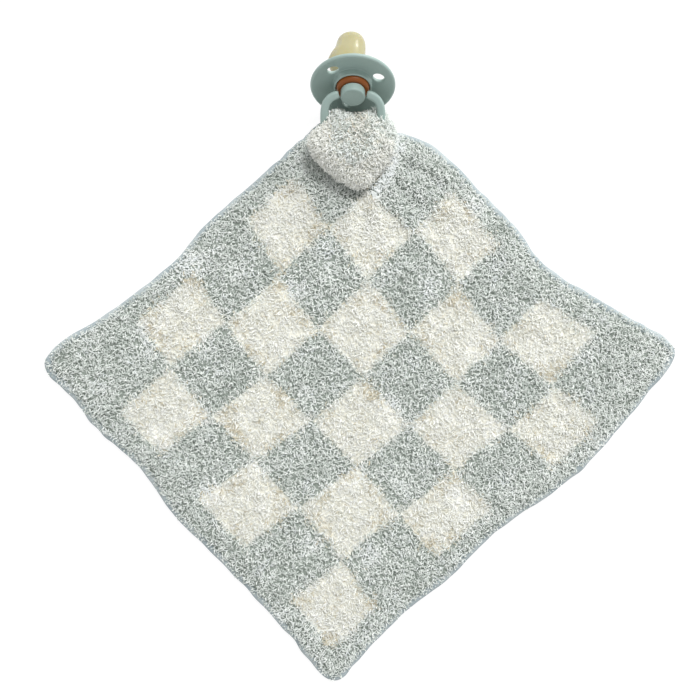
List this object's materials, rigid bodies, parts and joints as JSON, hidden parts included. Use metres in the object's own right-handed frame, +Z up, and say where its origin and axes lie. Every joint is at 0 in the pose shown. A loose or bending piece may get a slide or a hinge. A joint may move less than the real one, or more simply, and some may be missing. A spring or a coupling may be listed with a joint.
{
  "type": "comfort blanket with soother",
  "caption": "Square checked plush comfort blanket laid flat, one corner drawn through the ring of a round soother, folded back and snapped down.",
  "frame": {"origin": "middle of the part's box, on the surface that it lies on", "axes": "+Y from the blanket's free corner towards the soother, +Z up, +X to the right seen from above"},
  "size_m": [0.3468, 0.3542, 0.0409],
  "materials": {
    "knit_face": "short curly plush, sage ground with cream checks",
    "knit_reverse": "short curly plush, cream ground with sage checks",
    "edge_knit": "smooth knit, rolled",
    "snap_plastic": "moulded",
    "sage_plastic": "moulded, satin",
    "amber_rubber": "moulded, smooth",
    "latex": "dipped, smooth"
  },
  "bodies": {
    "blanket": {"blanket_panel": "knit_face", "corner_loop": "knit_face", "edge_roll_lower_left": "edge_knit", "edge_roll_lower_right": "edge_knit", "edge_roll_upper_left": "edge_knit", "edge_roll_upper_right": "edge_knit", "snap_stud": "snap_plastic"},
    "flap": {"corner_flap": "knit_reverse", "flap_edge_left": "edge_knit", "flap_edge_right": "edge_knit", "snap_socket": "snap_plastic"},
    "handle": {"handle_ring": "sage_plastic"},
    "soother": {"shield": "sage_plastic", "teat": "latex", "seat_ring": "amber_rubber", "plug": "sage_plastic"}
  },
  "joints": [
    {"name": "flap_hinge", "type": "hinge", "parent": "blanket", "child": "flap", "pos_m": [-0.0039, 0.1142, 0.0234], "axis": [-1, 0, 0], "range_deg": [0, 75]},
    {"name": "handle_swing", "type": "hinge", "parent": "blanket", "child": "handle", "pos_m": [-0.0039, 0.11434, 0.0102], "axis": [1, 0, 0], "range_deg": [0, 24]},
    {"name": "handle_pivot", "type": "hinge", "parent": "handle", "child": "soother", "pos_m": [-0.0039, 0.13982, 0.02358], "axis": [1, 0, 0], "range_deg": [0, 90]}
  ]
}
